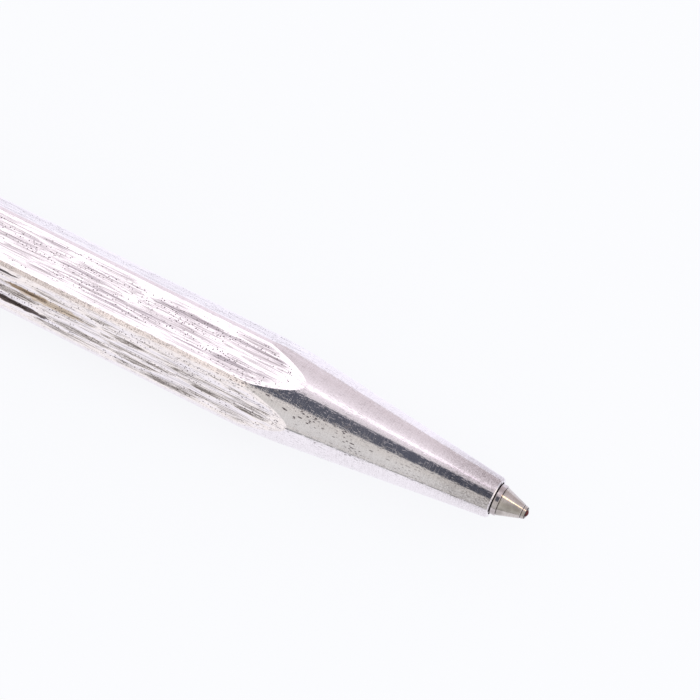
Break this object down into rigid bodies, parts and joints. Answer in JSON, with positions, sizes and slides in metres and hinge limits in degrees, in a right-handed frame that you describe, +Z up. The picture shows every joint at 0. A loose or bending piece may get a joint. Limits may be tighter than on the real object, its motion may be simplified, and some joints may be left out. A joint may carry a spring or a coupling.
{
  "type": "ballpoint pen",
  "caption": "Slim push-button ballpoint pen with a six-sided metal barrel, turned cone, spring clip and screw-in click mechanism over a metal refill.",
  "frame": {"origin": "on the surface that the pen lies on, under the middle of the pen's length and width", "axes": "+X towards the writing point, +Z up through the flat that carries the clip, +Y across the pen"},
  "size_m": [0.128, 0.0084, 0.0096],
  "materials": {
    "silver_plate": "brass plated with silver, polished on the cone and engraved on the flats",
    "brass": "turned brass, uncoated",
    "nickel_silver": "turned nickel silver",
    "spring_steel": "drawn wire",
    "refill_steel": "drawn tube",
    "carbide": "polished hard-metal ball, wet with ink",
    "plug_plastic": "moulded plastic, white",
    "cam_plastic": "moulded plastic, ivory",
    "ink": "ink paste"
  },
  "bodies": {
    "barrel_unit": {"barrel": "silver_plate", "nose_bush": "brass", "thread_insert": "brass", "return_spring": "spring_steel"},
    "clip_mount": {"clip_ring": "silver_plate"},
    "clip": {"clip_arm": "silver_plate"},
    "refill": {"refill_nose": "nickel_silver", "writing_point": "nickel_silver", "refill_tube": "refill_steel", "refill_plug": "plug_plastic", "ink_column": "ink"},
    "ball": {"writing_ball": "carbide"},
    "mechanism": {"end_collar": "silver_plate", "cam_sleeve": "cam_plastic", "rotor_retainer": "brass"},
    "button": {"plunger": "cam_plastic", "push_button": "silver_plate"},
    "rotor": {"cam_rotor": "cam_plastic"}
  },
  "joints": [
    {"name": "tail_travel", "type": "slide", "parent": "barrel_unit", "child": "clip_mount", "axis": [-1, 0, 0], "range_m": [0, 0.008]},
    {"name": "mechanism_unscrew", "type": "hinge", "parent": "clip_mount", "child": "mechanism", "pos_m": [-0.0576, 0, 0.0037], "axis": [-1, 0, 0], "range_deg": [0, 2880]},
    {"name": "clip_lift", "type": "hinge", "parent": "clip_mount", "child": "clip", "pos_m": [-0.05652, 0, 0.00925], "axis": [0, -1, 0], "range_deg": [0, 5], "stiffness_Nm_per_rad": 0.5},
    {"name": "button_press", "type": "slide", "parent": "mechanism", "child": "button", "axis": [1, 0, 0], "range_m": [-0.0045, 0.0012]},
    {"name": "refill_slide", "type": "slide", "parent": "clip_mount", "child": "refill", "axis": [1, 0, 0], "range_m": [-0.0045, 0.0012], "deforming": ["return_spring"]},
    {"name": "rotor_turn", "type": "hinge", "parent": "button", "child": "rotor", "pos_m": [-0.042, 0, 0.0037], "axis": [1, 0, 0], "range_deg": [-20, 20]},
    {"name": "ball_roll", "type": "hinge", "parent": "refill", "child": "ball", "pos_m": [0.06363, 0, 0.0037], "axis": [0, 1, 0], "continuous": true}
  ],
  "couplings": [
    {"joint": "mechanism_unscrew", "follows": "tail_travel", "rad_per_m": 6283},
    {"joint": "refill_slide", "follows": "button_press", "ratio": 1}
  ]
}
